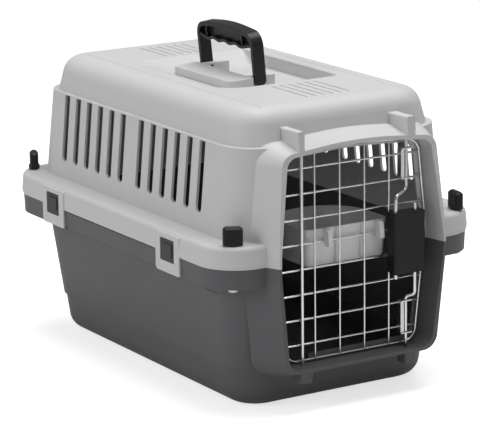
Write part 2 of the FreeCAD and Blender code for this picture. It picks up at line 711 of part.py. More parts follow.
def buildDoor():
    plane, wire = size("doorPlane"), size("meshWire")
    loop = roundedWire(mirroredCorners(FRAME_LOOP), station(plane))
    start = loop.OrderedEdges[0].Vertexes[0].Point
    heading = loop.OrderedEdges[0].tangentAt(loop.OrderedEdges[0].FirstParameter)
    profile = Part.Wire(Part.makeCircle(size("frameWire"), start, heading))
    keepPart(addFeature("door_frame_wire", loop.makePipeShell([profile], True, True)),
             "door_frame_wire")

    crosses = []
    alongY = Rotation(Vector(1, 0, 0), -90)
    for k in range(8):
        height = size("crossTop") - k * size("crossPitch")
        half = halfWidthAt(height) + 0.6
        bar = cylinderObject("CrossWire", cell("meshWire"), f"{2 * half:.3f}",
                             (plane, -half, height), alongY)
        bar.setExpression("Placement.Base.z", f"{cell('crossTop')} - {k} * {cell('crossPitch')}")
        crosses.append(bar)
    compoundOf("door_cross_wires", crosses)

    uprights = []
    for k in range(4):
        y = (k - 1.5) * size("uprightPitch")
        top = 271.6 - abs(y) * 0.055
        bar = cylinderObject("UprightWire", cell("uprightWire"), f"{top - 50.6:.3f}",
                             (plane + size("uprightOffset"), y, 50.6))
        bar.setExpression("Placement.Base.x", f"{cell('doorPlane')} + {cell('uprightOffset')}")
        uprights.append(bar)
    compoundOf("door_upright_wires", uprights)

    rod = cylinderObject("HingeRod", cell("rodRadius"), f"{cell('hingeTop')} - {cell('hingeFoot')}",
                         (size("hingeX"), size("hingeY"), size("hingeFoot")))
    bind(rod, Placement_Base_x=cell("hingeX"), Placement_Base_y=cell("hingeY"),
         Placement_Base_z=cell("hingeFoot"))
    keepPart(rod, "hinge_rod")


def boxObject(name, x0, x1, y0, y1, z0, z1):
    piece = doc.addObject("Part::Box", name)
    piece.Length, piece.Width, piece.Height = x1 - x0, y1 - y0, z1 - z0
    piece.Placement = Placement(Vector(x0, y0, z0), Rotation())
    return piece


def buildRodGuides():
    """Folded steel guides welded to the cross wires: a channel with a holed ear at each end."""
    x, y = size("boltRodX"), size("boltRodY")
    back = size("doorPlane") + size("meshWire")
    sheetThick, left = 1.3, y - 7.4
    for label, low, high in (("upper_rod_guide", 228.4, 261.0), ("lower_rod_guide", 62.5, 98.5)):
        walls = [boxObject("GuideSide", back, x + 1.9, left, left + sheetThick, low, high),
                 boxObject("GuideFront", x + 0.6, x + 1.9, left, y - 3.2, low, high)]
        for z in (low, high - sheetThick):
            walls.append(boxObject("GuideEar", back, x + 3.4, left, y + 6.0, z, z + sheetThick))
        folded = doc.addObject("Part::MultiFuse", "FoldedGuide")
        folded.Shapes = walls
        bore = cylinderObject("GuideBore", f"{cell('rodRadius')} + 0.3", f"{high - low + 2}",
                              (x, y, low - 1))
        guide = doc.addObject("Part::Cut", label)
        guide.Base, guide.Tool = folded, bore
        keepPart(guide, label)


# ---- squeeze latch ----

def buildLatch():
    """Two nested cases, each fixed to its own cranked rod, held apart by one spring."""
    back, front = size("caseBack"), size("caseBack") + size("caseDeep")
    left, right = size("caseLeft"), size("caseRight")
    bottom, top = size("caseBottom"), size("caseTop")
    wall, radius = size("caseWall"), size("rodRadius")
    rodX, upperY, lowerY = size("latchRodX"), size("upperRodY"), size("lowerRodY")
    middleX, middleY = (back + front) / 2, (left + right) / 2

    def hollowCase(shrink, thick, low, high, openUp):
        """Rectangular case with one open end, drawn in from the outer case's sides."""
        deep, wide = front - back - 2 * shrink, right - left - 2 * shrink
        case = prism(rectangle(deep, wide, 2.5 - shrink * 0.6, middleX, middleY), level(low),
                     high - low)
        if not openUp:
            case = case.makeFillet(1.4, edgesAt(case, high))
        room = prism(rectangle(deep - 2 * thick, wide - 2 * thick, 0.6, middleX, middleY),
                     level(low + thick if openUp else low - 1), high - low - thick + 1)
        return case.cut(room)

    outerLow, springLow, springHigh = bottom + 1.5, bottom - 0.5 + size("innerWall"), top - wall
    outer = hollowCase(0.0, wall, outerLow, top, False)
    outer = outer.fuse(cylinder(middleX, middleY, springHigh - 9, springHigh,
                                size("postRadius")))
    outer = cutAll(outer, cylinder(rodX, upperY, top - 10, top + 5, radius),
                   cylinder(rodX, lowerY, top - 10, top + 5, radius + 0.35))
    keepPart(addFeature("latch_outer_case", outer), "latch_outer_case")

    inner = hollowCase(wall + 0.35, size("innerWall"), bottom - 0.5, size("innerTop"), True)
    inner = inner.fuse(cylinder(middleX, middleY, springLow, springLow + 9,
                                size("postRadius")))
    inner = cutAll(inner, cylinder(rodX, lowerY, bottom - 5, bottom + 5, radius),
                   cylinder(rodX, upperY, bottom - 5, bottom + 5, radius + 0.35))
    keepPart(addFeature("latch_inner_case", inner), "latch_inner_case")

    x, y = size("boltRodX"), size("boltRodY")
    upper = pipe([Vector(rodX, upperY, 124.0), Vector(rodX, upperY, 212.2), Vector(x, y, 216.8),
                  Vector(x, y, 272.2)], radius, 5.2)
    lower = pipe([Vector(x, y, 50.2), Vector(x, y, 101.8), Vector(rodX, lowerY, 105.0),
                  Vector(rodX, lowerY, 203.0)], radius, 4.0)
    keepPart(addFeature("upper_bolt_rod", upper), "upper_bolt_rod")
    keepPart(addFeature("lower_bolt_rod", lower), "lower_bolt_rod")

    coils, wire, ring = 13, size("springWire"), size("springRadius")
    height = springHigh - springLow - 2 * wire - 0.1
    start = springLow + wire + 0.05
    helix = Part.makeHelix(height / coils, height, ring)
    helix.translate(Vector(middleX, middleY, start))
    profile = Part.Wire(Part.makeCircle(wire, Vector(middleX + ring, middleY, start),
                                        Vector(0, 1, 0)))
    keepPart(addFeature("latch_spring", Part.Wire(helix).makePipeShell([profile], True, True)),
             "latch_spring")


# ---- bowl ----

def buildBowl():
    """D-shaped bowl with a flat front, drafted walls and two hooks over a cross wire."""
    front, back = size("bowlFront"), size("bowlFront") - size("bowlDeep")
    half, middle = size("bowlHalf"), size("bowlCentre")
    draft, wall = size("bowlDraft"), size("bowlWall")
    bottom, top = size("bowlBottom"), size("bowlTop")

    def outline(amount, lean):
        corners = [(front - lean * 0.3, middle - half, 9), (front - lean * 0.3, middle + half, 9),
                   (back, middle + half, half - 4), (back, middle - half, half - 4)]
        return inset(corners, amount)

    body = loft(roundedWire(outline(draft, 0), level(bottom)),
                roundedWire(outline(0.0, 0), level(top)))
    body = body.makeFillet(4, edgesAt(body, bottom))
    hollow = loft(roundedWire(outline(draft + wall, 0), level(bottom + 2.0)),
                  roundedWire(outline(wall, 0), level(top + 1)))
    hollow = hollow.makeFillet(3, edgesAt(hollow, bottom + 2.0))
    bowl = body.cut(hollow)
    ribs = []
    for y in (middle - 14.0, middle + 17.0):
        ribs.append(box(front - 3.4, front + 0.6, y - 0.8, y + 0.8, bottom + 2, top - 1))
    wireTop = size("crossTop") - 3 * size("crossPitch") + size("meshWire")
    plane, slot = size("doorPlane"), size("meshWire") + 0.35
    hooks = []
    for y in (middle - 27.5, middle + 36.0):
        profile = [(front - 1.5, top - 0.2, 0.8), (229.5, top - 0.2, 4.5), (231.5, top - 18, 1.5),
                   (plane + slot, top - 18, 1.2), (plane + slot, wireTop + 0.4, 1.0),
                   (plane - slot, wireTop + 0.4, 0.3), (front - 1.5, wireTop - 2.0, 0)]
        hooks.append(prism(profile, Placement(Vector(0, y + 2.7, 0), FACING_NEAR), 5.4))
    bowl = bowl.fuse(ribs + hooks)
    keepPart(addFeature("food_bowl", bowl.removeSplitter()), "food_bowl")


# ---- handle ----

def buildHandle():
    """Strap bent into an arch, with a web, two ribs and a finger flange under its top."""
    half, rise, thick = size("handleHalf"), size("handleRise"), size("strapThick")
    foot = size("handleFoot")
    body = bodyWith("HandleBody")
    outer = [(-half, -foot, 0), (-half - 0.5, rise - 3.5, 15), (0, rise + 2.5, 260),
             (half + 0.5, rise - 3.5, 15), (half, -foot, 0)]
    inner = [(half - thick, -foot, 0), (half + 0.5 - thick, rise - 3.5 - thick, 11),
             (0, rise + 2.5 - thick, 260), (-half - 0.5 + thick, rise - 3.5 - thick, 11),
             (-half + thick, -foot, 0)]
    strap = sketchOn(body, "XZ_Plane", "StrapOutline", outer + inner)
    pad(body, strap, cell("strapWide"), "Strap", symmetric=True)
    # finger flange: three shallow grips between four swells
    low = rise - 21.0
    swells, grips = (-35.0, -13.0, 9.0, 31.0), (-24.0, -2.0, 20.0)
    under = sorted([(x, low - 1.2, 16) for x in swells] + [(x, low + 2.6, 16) for x in grips])
    over = [(x, z + 3.4, 16) for x, z, _ in reversed(under)]
    fingers = ([(-half + 3, low + 3.5, 2)] + under + [(half - 3, low + 3.5, 2),
               (half - 2, low + 6.5, 0.8)] + over + [(-half + 2, low + 6.5, 0.8)])
    flange = sketchOn(body, "XZ_Plane", "FingerOutline", fingers)
    pad(body, flange, f"{cell('strapWide')} - 1", "FingerFlange", symmetric=True)
    web = [(-half + 1, low + 4, 0), (half - 1, low + 4, 0), (half - 3, rise - 8, 6),
           (0, rise - 0.5, 200), (-half + 3, rise - 8, 6)]
    pad(body, sketchOn(body, "XZ_Plane", "WebOutline", web), "3", "Web", symmetric=True)
    for k, x in enumerate((-38.0, 34.0)):
        rib = [(x - 1, low + 4, 0), (x + 1, low + 4, 0), (x + 1, rise - 2.5, 0), (x - 1, rise - 2.5, 0)]
        pad(body, sketchOn(body, "XZ_Plane", f"RibOutline{k}", rib), f"{cell('strapWide')} - 2",
            f"Rib{k}", symmetric=True)
    radius = size("pinRadius") + size("pinFit")
    bore = rectangle(2 * radius, 2 * radius, radius * 0.9999)
    hole = sketchOn(body, "YZ_Plane", "PivotBores", bore, "-100")
    pocket(body, hole, "200", "PivotBore", True)
    doc.recompute()
    ends = [f"Edge{i + 1}" for i, edge in enumerate(body.Shape.Edges)
            if edge.BoundBox.ZMax < -foot + 0.1 and edge.BoundBox.XLength > 2
            and edge.BoundBox.YLength < 0.01]
    dressUp(body, "PartDesign::Fillet", "FootRounding", ends).Radius = 5.0
    lean = Rotation(Vector(1, 0, 0), size("handleLean"))
    body.Placement = Placement(Vector(size("handleCentre"), size("handleY"), size("pivotHeight")),
                               lean)
    keepPart(body, "carry_handle")

    pins = []
    alongX = Rotation(Vector(0, 1, 0), 90)
    for side in (-1, 1):
        outerEnd = size("handleCentre") + side * (half + 0.5)
        innerEnd = size("handleCentre") + side * (size("blockCore") / 2 - 8)
        pin = cylinderObject("HandlePin", cell("pinRadius"), f"{abs(outerEnd - innerEnd):.2f}",
                             (min(outerEnd, innerEnd), size("handleY"), size("pivotHeight")),
                             alongX)
        pin.setExpression("Placement.Base.z", cell("pivotHeight"))
        pins.append(pin)
    compoundOf("handle_pins", pins)


def checkDocument():
    doc.recompute()
    for item in doc.Objects:
        if "Invalid" in item.State or "Error" in item.State:
            raise RuntimeError(f"{item.Name} is in state {item.State}")
    for part in PARTS:
        shape = part.Shape
        if shape.isNull() or not shape.isValid():
            raise RuntimeError(f"{part.Label} has no valid shape")


def exportParts():
    os.makedirs("parts", exist_ok=True)
    for part in PARTS:
        part.Shape.exportStep(f"parts/{part.Label}.step")
        limits = part.Shape.BoundBox
        print(f"{part.Label:28s} solids {len(part.Shape.Solids)} volume {part.Shape.Volume:10.1f} "
              f"x {limits.XMin:7.1f} {limits.XMax:7.1f} y {limits.YMin:7.1f} {limits.YMax:7.1f} "
              f"z {limits.ZMin:6.1f} {limits.ZMax:6.1f}")


buildShells()
buildBolts()
buildKnobs()
buildCatches()
buildDoor()
buildRodGuides()
buildLatch()
buildBowl()
buildHandle()
checkDocument()
exportParts()
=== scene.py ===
import json
import math
import bpy
import numpy as np
from mathutils import Matrix, Vector


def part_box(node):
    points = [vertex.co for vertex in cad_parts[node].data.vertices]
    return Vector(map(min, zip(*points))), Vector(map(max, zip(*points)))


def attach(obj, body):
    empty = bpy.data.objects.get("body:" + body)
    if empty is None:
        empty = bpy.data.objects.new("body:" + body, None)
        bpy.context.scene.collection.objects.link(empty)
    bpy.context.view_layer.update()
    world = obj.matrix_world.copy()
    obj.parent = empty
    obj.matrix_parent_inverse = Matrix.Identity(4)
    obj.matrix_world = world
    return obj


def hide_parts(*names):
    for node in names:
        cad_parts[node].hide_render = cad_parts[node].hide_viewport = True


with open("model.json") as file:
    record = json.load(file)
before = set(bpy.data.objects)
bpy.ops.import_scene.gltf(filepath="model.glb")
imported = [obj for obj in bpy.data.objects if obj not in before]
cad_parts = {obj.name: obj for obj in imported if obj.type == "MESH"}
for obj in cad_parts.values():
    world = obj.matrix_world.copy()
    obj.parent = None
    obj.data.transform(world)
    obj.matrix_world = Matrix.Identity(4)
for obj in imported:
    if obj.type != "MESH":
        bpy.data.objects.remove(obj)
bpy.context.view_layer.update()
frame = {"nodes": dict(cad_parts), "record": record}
print("frame loaded,", len(frame["nodes"]), "nodes")

mm = 0.001
scene = bpy.context.scene


cameraSetup = {"azimuth": 58.329, "elevation": 13.738, "roll": -0.703, "lens": 199.32,
               "offset": (0.0010129, 0.148766, 2.955322)}   # metres, along right, up and back
lightSetup = {
    "skyStrength": 0.22, "skyTone": (1.0, 1.0, 1.0),
    "floorTone": 0.66, "floorGlow": 0.10, "floorWhite": 0.68, "floorHalf": 9.0,
    # name: place, target, width, height, watts
    "roofBox": ((0.1, 0.3, 2.4), (0.0, 0.0, 0.3), 1.8, 1.8, 54.0),
    "sideBox": ((-0.2, -2.7, 1.3), (0.0, 0.0, 0.2), 1.4, 1.4, 24.0),
    "frontBox": ((2.9, 0.9, 1.9), (0.2, 0.0, 0.2), 1.2, 1.2, 4.5),
}


def aimedMatrix(place, target):
    # Back axis is the direction from the target to the place, the right axis is level.
    back = (Vector(place) - Vector(target)).normalized()
    right = Vector((0, 0, 1)).cross(back).normalized()
    up = back.cross(right)
    turn = Matrix((right, up, back)).transposed().to_4x4()
    return Matrix.Translation(Vector(place)) @ turn


def makeCamera(setup):
    # Turns the level view axes by the roll and stands the camera at its offset along them.
    a, e, r = (math.radians(setup[k]) for k in ("azimuth", "elevation", "roll"))
    back = np.array([math.sin(a) * math.cos(e), -math.cos(a) * math.cos(e), math.sin(e)])
    right = np.array([math.cos(a), math.sin(a), 0.0])
    up = np.cross(back, right)
    axes = np.array([right * math.cos(r) + up * math.sin(r),
                     up * math.cos(r) - right * math.sin(r), back])
    place = axes.T @ np.array(setup["offset"])
    data = bpy.data.cameras.new("viewCamera")
    data.lens, data.sensor_width, data.sensor_fit = setup["lens"], 36.0, "HORIZONTAL"
    data.clip_start, data.clip_end = 0.05, 60.0
    camera = bpy.data.objects.new("viewCamera", data)
    scene.collection.objects.link(camera)
    turn = Matrix(axes.T.tolist()).to_4x4()
    camera.matrix_world = Matrix.Translation(Vector(place.tolist())) @ turn
    scene.camera = camera


def makeLights(setup):
    for name in ("roofBox", "sideBox", "frontBox"):
        place, target, width, height, watts = setup[name]
        data = bpy.data.lights.new(name, "AREA")
        data.shape, data.size, data.size_y, data.energy = "RECTANGLE", width, height, watts
        lamp = bpy.data.objects.new(name, data)
        scene.collection.objects.link(lamp)
        lamp.matrix_world = aimedMatrix(place, target)
    world = bpy.data.worlds.new("paleRoom")
    scene.world = world
    world.use_nodes = True
    sky = world.node_tree.nodes["Background"]
    sky.inputs["Color"].default_value = (*setup["skyTone"], 1)
    sky.inputs["Strength"].default_value = setup["skyStrength"]


def makeFloor(setup):
    half = setup["floorHalf"]
    mesh = bpy.data.meshes.new("studioFloor")
    mesh.from_pydata([(-half, -half, 0), (half, -half, 0), (half, half, 0), (-half, half, 0)],
                     [], [(0, 1, 2, 3)])
    floor = bpy.data.objects.new("studioFloor", mesh)
    scene.collection.objects.link(floor)
    finish = bpy.data.materials.new("floorPaper")
    finish.use_nodes = True
    paper = finish.node_tree.nodes["Principled BSDF"]
    paper.inputs["Base Color"].default_value = (*(setup["floorTone"],) * 3, 1)
    paper.inputs["Roughness"].default_value = 0.9
    paper.inputs["Emission Color"].default_value = (1, 1, 1, 1)
    # the floor looks whiter than it shines on the carrier
    seen = finish.node_tree.nodes.new("ShaderNodeLightPath")
    glow = finish.node_tree.nodes.new("ShaderNodeMapRange")
    glow.inputs["To Min"].default_value = setup["floorGlow"]
    glow.inputs["To Max"].default_value = setup["floorWhite"]
    finish.node_tree.links.new(seen.outputs["Is Camera Ray"], glow.inputs["Value"])
    finish.node_tree.links.new(glow.outputs["Result"], paper.inputs["Emission Strength"])
    mesh.materials.append(finish)


makeCamera(cameraSetup)
makeLights(lightSetup)
makeFloor(lightSetup)
scene.view_settings.view_transform = "Standard"
print("camera, light and floor done")


def newGroup(name, inputs, outputs):
    group = bpy.data.node_groups.new(name, "ShaderNodeTree")
    for label, kind, value in inputs:
        socket = group.interface.new_socket(name=label, in_out="INPUT", socket_type=kind)
        socket.default_value = value
    for label, kind in outputs:
        group.interface.new_socket(name=label, in_out="OUTPUT", socket_type=kind)
    return group, group.nodes.new("NodeGroupInput"), group.nodes.new("NodeGroupOutput")


def mathNode(tree, operation, *values, clamp=False):
    # One Math node; each value is a number or a socket.
    node = tree.nodes.new("ShaderNodeMath")
    node.operation, node.use_clamp = operation, clamp
    for k, value in enumerate(values):
        if isinstance(value, (int, float)):
            node.inputs[k].default_value = value
        else:
            tree.links.new(value, node.inputs[k])
    return node.outputs[0]


def noiseNode(tree, vector, scale, detail=2.0, roughness=0.5):
    node = tree.nodes.new("ShaderNodeTexNoise")
    tree.links.new(vector, node.inputs["Vector"])
    node.inputs["Detail"].default_value = detail
    node.inputs["Roughness"].default_value = roughness
    if isinstance(scale, (int, float)):
        node.inputs["Scale"].default_value = scale
    else:
        tree.links.new(scale, node.inputs["Scale"])
    return node.outputs["Fac"]


def edgeMaskGroup():
    # Mask of rounded edges, where the plastic gets a painted highlight and a smoother finish: how
    # far the rounded normal turns away from the true one.
    group, come, go = newGroup("edgeMask", [("Radius", "NodeSocketFloat", 0.001)],
                               [("Mask", "NodeSocketFloat"), ("Normal", "NodeSocketVector")])
    soft = group.nodes.new("ShaderNodeBevel")
    soft.samples = 6
    group.links.new(come.outputs["Radius"], soft.inputs["Radius"])
    true = group.nodes.new("ShaderNodeNewGeometry")
    turn = group.nodes.new("ShaderNodeVectorMath")
    turn.operation = "DOT_PRODUCT"
    group.links.new(soft.outputs[0], turn.inputs[0])
    group.links.new(true.outputs["Normal"], turn.inputs[1])
    away = mathNode(group, "SUBTRACT", 1.0, turn.outputs["Value"], clamp=True)
    mask = mathNode(group, "MULTIPLY", away, 4.0, clamp=True)
    group.links.new(mask, go.inputs["Mask"])
    group.links.new(soft.outputs[0], go.inputs["Normal"])
    return group


def mouldedGroup(edgeMask):
    # Moulded plastic: fine sparked grain, faint flow mottling, polished edges with a painted
    # highlight that makes them paler.
    group, come, go = newGroup(
        "mouldedPlastic",
        [("Tone", "NodeSocketColor", (0.5, 0.5, 0.5, 1)), ("Mottle", "NodeSocketFloat", 0.04),
         ("Grain Size", "NodeSocketFloat", 1500.0), ("Grain Depth", "NodeSocketFloat", 0.3),
         ("Edge Radius", "NodeSocketFloat", 0.0006), ("Painted Edge Highlight", "NodeSocketFloat", 0.1),
         ("Matte", "NodeSocketFloat", 0.5), ("Smudge", "NodeSocketFloat", 0.12)],
        [("Color", "NodeSocketColor"), ("Roughness", "NodeSocketFloat"),
         ("Normal", "NodeSocketVector")])
    place = group.nodes.new("ShaderNodeTexCoord").outputs["Object"]
    flow = noiseNode(group, place, 9.0, 4.0, 0.6)
    smudge = noiseNode(group, place, 46.0, 5.0, 0.62)
    grain = noiseNode(group, place, come.outputs["Grain Size"], 2.0, 0.55)
    edge = group.nodes.new("ShaderNodeGroup")
    edge.node_tree = edgeMask
    group.links.new(come.outputs["Edge Radius"], edge.inputs["Radius"])

    swing = mathNode(group, "MULTIPLY", mathNode(group, "SUBTRACT", flow, 0.5),
                     come.outputs["Mottle"])
    speck = mathNode(group, "MULTIPLY", mathNode(group, "SUBTRACT", grain, 0.5), 0.05)
    # painted highlight: the colour is made paler along rounded edges, where light would catch them
    paintedEdgeHighlight = mathNode(group, "MULTIPLY", edge.outputs["Mask"], come.outputs["Painted Edge Highlight"])
    gain = mathNode(group, "ADD", mathNode(group, "ADD", swing, speck),
                    mathNode(group, "ADD", paintedEdgeHighlight, 1.0))
    tint = group.nodes.new("ShaderNodeVectorMath")
    tint.operation = "SCALE"
    group.links.new(come.outputs["Tone"], tint.inputs[0])
    group.links.new(gain, tint.inputs["Scale"])
    group.links.new(tint.outputs["Vector"], go.inputs["Color"])

    rub = mathNode(group, "MULTIPLY", mathNode(group, "SUBTRACT", smudge, 0.5),
                   come.outputs["Smudge"])
    polish = mathNode(group, "MULTIPLY", edge.outputs["Mask"], 0.12)
    dull = mathNode(group, "SUBTRACT", mathNode(group, "ADD", come.outputs["Matte"], rub), polish,
                    clamp=True)
    group.links.new(dull, go.inputs["Roughness"])

    bump = group.nodes.new("ShaderNodeBump")
    bump.inputs["Distance"].default_value = 0.00012
    group.links.new(come.outputs["Grain Depth"], bump.inputs["Strength"])
    group.links.new(grain, bump.inputs["Height"])
    group.links.new(edge.outputs["Normal"], bump.inputs["Normal"])
    group.links.new(bump.outputs["Normal"], go.inputs["Normal"])
    return group


def steelGroup(edgeMask):
    # Drawn or rolled steel: long fine draw marks, dull spots, brighter edges.
    group, come, go = newGroup(
        "drawnSteel",
        [("Tone", "NodeSocketColor", (0.7, 0.7, 0.7, 1)), ("Stretch", "NodeSocketVector", (1, 1, 1)),
         ("Matte", "NodeSocketFloat", 0.25), ("Marks", "NodeSocketFloat", 0.2),
         ("Edge Radius", "NodeSocketFloat", 0.0003)],
        [("Color", "NodeSocketColor"), ("Roughness", "NodeSocketFloat"),
         ("Normal", "NodeSocketVector")])
    place = group.nodes.new("ShaderNodeTexCoord").outputs["Object"]
    longWay = group.nodes.new("ShaderNodeVectorMath")
    longWay.operation = "MULTIPLY"
    group.links.new(place, longWay.inputs[0])
    group.links.new(come.outputs["Stretch"], longWay.inputs[1])
    marks = noiseNode(group, longWay.outputs["Vector"], 900.0, 3.0, 0.6)
    spots = noiseNode(group, place, 120.0, 4.0, 0.65)
    edge = group.nodes.new("ShaderNodeGroup")
    edge.node_tree = edgeMask
    group.links.new(come.outputs["Edge Radius"], edge.inputs["Radius"])

    gain = mathNode(group, "ADD", mathNode(group, "MULTIPLY", spots, 0.16),
                    mathNode(group, "ADD", mathNode(group, "MULTIPLY", marks, 0.10), 0.87))
    tint = group.nodes.new("ShaderNodeVectorMath")
    tint.operation = "SCALE"
    group.links.new(come.outputs["Tone"], tint.inputs[0])
    group.links.new(gain, tint.inputs["Scale"])
    group.links.new(tint.outputs["Vector"], go.inputs["Color"])
    dull = mathNode(group, "ADD", come.outputs["Matte"],
                    mathNode(group, "MULTIPLY", mathNode(group, "SUBTRACT", marks, 0.5),
                             come.outputs["Marks"]), clamp=True)
    group.links.new(dull, go.inputs["Roughness"])
    bump = group.nodes.new("ShaderNodeBump")
    bump.inputs["Distance"].default_value = 0.00004
    bump.inputs["Strength"].default_value = 0.35
    group.links.new(marks, bump.inputs["Height"])
    group.links.new(edge.outputs["Normal"], bump.inputs["Normal"])
    group.links.new(bump.outputs["Normal"], go.inputs["Normal"])
    return group


edgeMask = edgeMaskGroup()
moulded = mouldedGroup(edgeMask)
drawn = steelGroup(edgeMask)

# each look's edge value makes the colour paler along rounded edges: a painted highlight, strongest
# on the black parts
plasticLooks = {
    "lightShell": {"Tone": (0.56, 0.56, 0.565), "Mottle": 0.05, "Grain Size": 1500.0,
                   "Grain Depth": 0.30, "Edge Radius": 0.0009, "Painted Edge Highlight": 0.05,
                   "Matte": 0.52, "Smudge": 0.14},
    "darkShell": {"Tone": (0.088, 0.09, 0.094), "Mottle": 0.10, "Grain Size": 1500.0,
                  "Grain Depth": 0.34, "Edge Radius": 0.0009, "Painted Edge Highlight": 0.35,
                  "Matte": 0.50, "Smudge": 0.16},
    "catchPlastic": {"Tone": (0.036, 0.037, 0.039), "Mottle": 0.08, "Grain Size": 1900.0,
                     "Grain Depth": 0.22, "Edge Radius": 0.0005, "Painted Edge Highlight": 0.5,
                     "Matte": 0.42, "Smudge": 0.14},
    # the bowl is the light shell's plastic, given a paler tone as painted light that makes up for
    # the shade it sits in
    "bowlPlastic": {"Tone": (0.70, 0.705, 0.71), "Mottle": 0.05, "Grain Size": 1300.0,
                    "Grain Depth": 0.16, "Edge Radius": 0.0007, "Painted Edge Highlight": 0.04,
                    "Matte": 0.40, "Smudge": 0.12},
    "handlePlastic": {"Tone": (0.014, 0.014, 0.015), "Mottle": 0.10, "Grain Size": 1700.0,
                      "Grain Depth": 0.20, "Edge Radius": 0.0006, "Painted Edge Highlight": 0.8,
                      "Matte": 0.34, "Smudge": 0.14},
    "latchPlastic": {"Tone": (0.016, 0.016, 0.017), "Mottle": 0.10, "Grain Size": 1700.0,
                     "Grain Depth": 0.26, "Edge Radius": 0.0004, "Painted Edge Highlight": 0.8,
                     "Matte": 0.44, "Smudge": 0.14},
    "knobPlastic": {"Tone": (0.013, 0.013, 0.014), "Mottle": 0.10, "Grain Size": 1700.0,
                    "Grain Depth": 0.24, "Edge Radius": 0.0005, "Painted Edge Highlight": 0.9,
                    "Matte": 0.36, "Smudge": 0.14},
}
steelLooks = {
    "wireSteel": {"Tone": (0.86, 0.86, 0.87), "Stretch": (1.0, 0.10, 0.10), "Matte": 0.20,
                  "Marks": 0.16, "Edge Radius": 0.0001},
    "rodSteel": {"Tone": (0.84, 0.84, 0.85), "Stretch": (1.0, 1.0, 0.06), "Matte": 0.20,
                 "Marks": 0.18, "Edge Radius": 0.0001},
    "guideSteel": {"Tone": (0.74, 0.74, 0.75), "Stretch": (1.0, 1.0, 0.10), "Matte": 0.30,
                   "Marks": 0.22, "Edge Radius": 0.0003},
    "springSteel": {"Tone": (0.55, 0.55, 0.57), "Stretch": (1.0, 1.0, 1.0), "Matte": 0.30,
                    "Marks": 0.20, "Edge Radius": 0.0001},
    "fastenerSteel": {"Tone": (0.62, 0.62, 0.63), "Stretch": (0.3, 0.3, 1.0), "Matte": 0.32,
                      "Marks": 0.22, "Edge Radius": 0.0003},
}


# share of the usual shine, where it is less than full
softShine = {"handlePlastic": 0.28, "latchPlastic": 0.25, "knobPlastic": 0.22, "catchPlastic": 0.3}


def makeMaterial(name, group, look, metal):
    material = bpy.data.materials.new(name)
    material.use_nodes = True
    tree = material.node_tree
    shader = tree.nodes["Principled BSDF"]
    source = tree.nodes.new("ShaderNodeGroup")
    source.node_tree = group
    for key, value in look.items():
        colour = key == "Tone"
        source.inputs[key].default_value = (*value, 1) if colour else value
    tree.links.new(source.outputs["Color"], shader.inputs["Base Color"])
    tree.links.new(source.outputs["Roughness"], shader.inputs["Roughness"])
    tree.links.new(source.outputs["Normal"], shader.inputs["Normal"])
    shader.inputs["Metallic"].default_value = 1.0 if metal else 0.0
    shader.inputs["IOR"].default_value = 1.49
    shader.inputs["Specular IOR Level"].default_value = softShine.get(name, 0.5)
    return material


materials = {n: makeMaterial(n, moulded, look, False) for n, look in plasticLooks.items()}
materials.update({n: makeMaterial(n, drawn, look, True) for n, look in steelLooks.items()})

slotOf = {"light_shell": "lightShell", "dark_shell": "darkShell", "catch_plastic": "catchPlastic",
          "bowl_plastic": "bowlPlastic", "handle_plastic": "handlePlastic",
          "latch_plastic": "latchPlastic", "knob_plastic": "knobPlastic",
          "wire_steel": "wireSteel", "rod_steel": "rodSteel", "guide_steel": "guideSteel",
          "spring_steel": "springSteel", "fastener_steel": "fastenerSteel"}
for part in frame["record"]["subparts"]:
    node = frame["nodes"][part["node"]]
    for place in node.material_slots:
        place.material = materials[slotOf[part["material_slot"]]]
print("materials done,", len(materials))


def meshFrom(name, verts, faces, finish, body, cadNodes, slotName):
    # One new piece from points and faces, riding on its body in place of its CAD nodes.
    mesh = bpy.data.meshes.new(name)
    mesh.from_pydata(np.asarray(verts, float).tolist(), [], faces)
    mesh.validate()
    mesh.shade_smooth()
    mesh.materials.append(materials[finish])
    piece = bpy.data.objects.new(name, mesh)
    scene.collection.objects.link(piece)
    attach(piece, body)
    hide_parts(*cadNodes)
    return piece


def joined(parts):
    # Several point and face sets put after each other as one.
    verts, faces, count = [], [], 0
    for points, polygons in parts:
        verts.append(points)
        faces += [tuple(i + count for i in polygon) for polygon in polygons]
        count += len(points)
    return np.concatenate(verts), faces


def gridFaces(rows, columns, closedRows):
    # Quads between neighbouring rings of a grid; the last ring meets the first if closed.
    i = np.arange(rows if closedRows else rows - 1)[:, None]
    j = np.arange(columns)[None, :]
    a, b = i * columns + j, i * columns + (j + 1) % columns
    up = ((i + 1) % rows) * columns
    quads = np.stack([a, b, up + (j + 1) % columns, up + j], axis=-1).reshape(-1, 4)
    return [tuple(q) for q in quads.tolist()]


roundEnd = [(1 - math.sin(t), max(math.cos(t), 0.02)) for t in np.linspace(math.pi / 2, 0, 6)]
shearedEnd = [(0.0, 0.55), (0.06, 0.80), (0.26, 0.97), (0.50, 1.0)]


